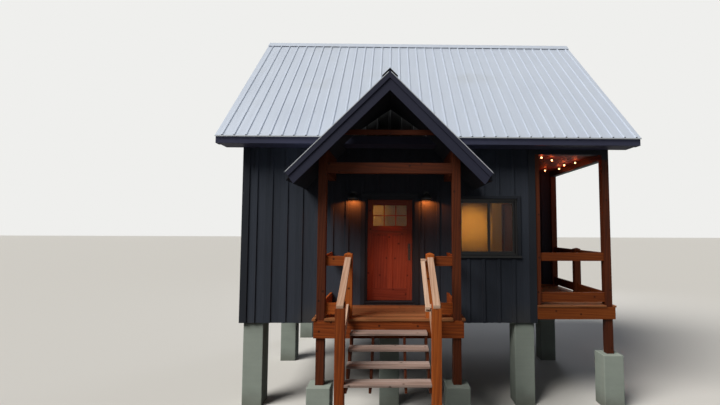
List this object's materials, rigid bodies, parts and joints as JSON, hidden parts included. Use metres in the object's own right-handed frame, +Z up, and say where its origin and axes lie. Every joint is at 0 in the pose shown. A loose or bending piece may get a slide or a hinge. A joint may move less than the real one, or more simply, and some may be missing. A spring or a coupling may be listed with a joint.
{
  "type": "gabled cabin",
  "caption": "Side-gabled board-and-batten cabin on concrete piers, with a gabled entry porch and open stair, a corner porch under the main roof and a ribbed metal roof",
  "frame": {"origin": "Centre of the whole building's footprint, roof and stair included, on the level ground that the piers and the lower newels stand on", "axes": "+X runs along the main ridge to the corner-porch end, on the right as seen from the front; -Y is the front with the entry stair; +Z is up"},
  "size_m": [8.23, 8.4336, 8.5866],
  "materials": {
    "concrete": "cast concrete with form marks, pale grey",
    "lumber": "rough framing lumber, uncoated",
    "floor_wood": "planed floor boards, satin",
    "siding": "charcoal painted board-and-batten siding, matt",
    "roof_metal": "ribbed galvanised steel sheet, dull silver",
    "cedar": "cedar with an orange-brown oil stain, satin",
    "dark_trim": "charcoal painted trim boards, matt",
    "door_wood": "reddish-brown stained door, satin",
    "black_metal": "black powder-coated steel",
    "glass": "clear window glass"
  },
  "bodies": {
    "cabin": {"concrete_piers": "concrete", "floor_frame": "lumber", "floor_joists": "lumber", "roof_structure": "lumber", "floor_boards": "floor_wood", "front_wall_left": "siding", "front_wall_right": "siding", "front_wall_header": "siding", "back_wall": "siding", "left_gable_wall": "siding", "right_gable_wall": "siding", "porch_side_wall": "siding", "porch_back_wall": "siding", "front_roof_metal": "roof_metal", "back_roof_metal": "roof_metal", "ridge_cap": "roof_metal", "entry_roof_metal": "roof_metal", "corner_ceiling": "cedar", "corner_posts": "cedar", "corner_deck": "cedar", "entry_posts": "cedar", "entry_beams": "cedar", "entry_deck": "cedar", "deck_rims": "cedar", "deck_joists": "cedar", "porch_rails": "cedar", "stair_stringers": "cedar", "stair_treads": "cedar", "stair_newels": "cedar", "stair_handrails": "cedar", "door_frame": "dark_trim", "eave_boards": "dark_trim", "rake_boards": "dark_trim", "corner_beams": "dark_trim", "entry_roof": "dark_trim", "entry_ridge_cap": "dark_trim", "barge_boards": "dark_trim", "porch_door": "door_wood", "frame_hinges": "black_metal", "window_frame": "black_metal", "wall_lamps": "black_metal", "window_glass": "glass"},
    "door": {"door_leaf": "door_wood", "door_glass": "glass", "door_hardware": "black_metal"}
  },
  "joints": [
    {"name": "door_hinge", "type": "hinge", "parent": "cabin", "child": "door", "pos_m": [-1.2245, -1.746, 3.058], "axis": [0, 0, 1], "range_deg": [0, 105]}
  ]
}
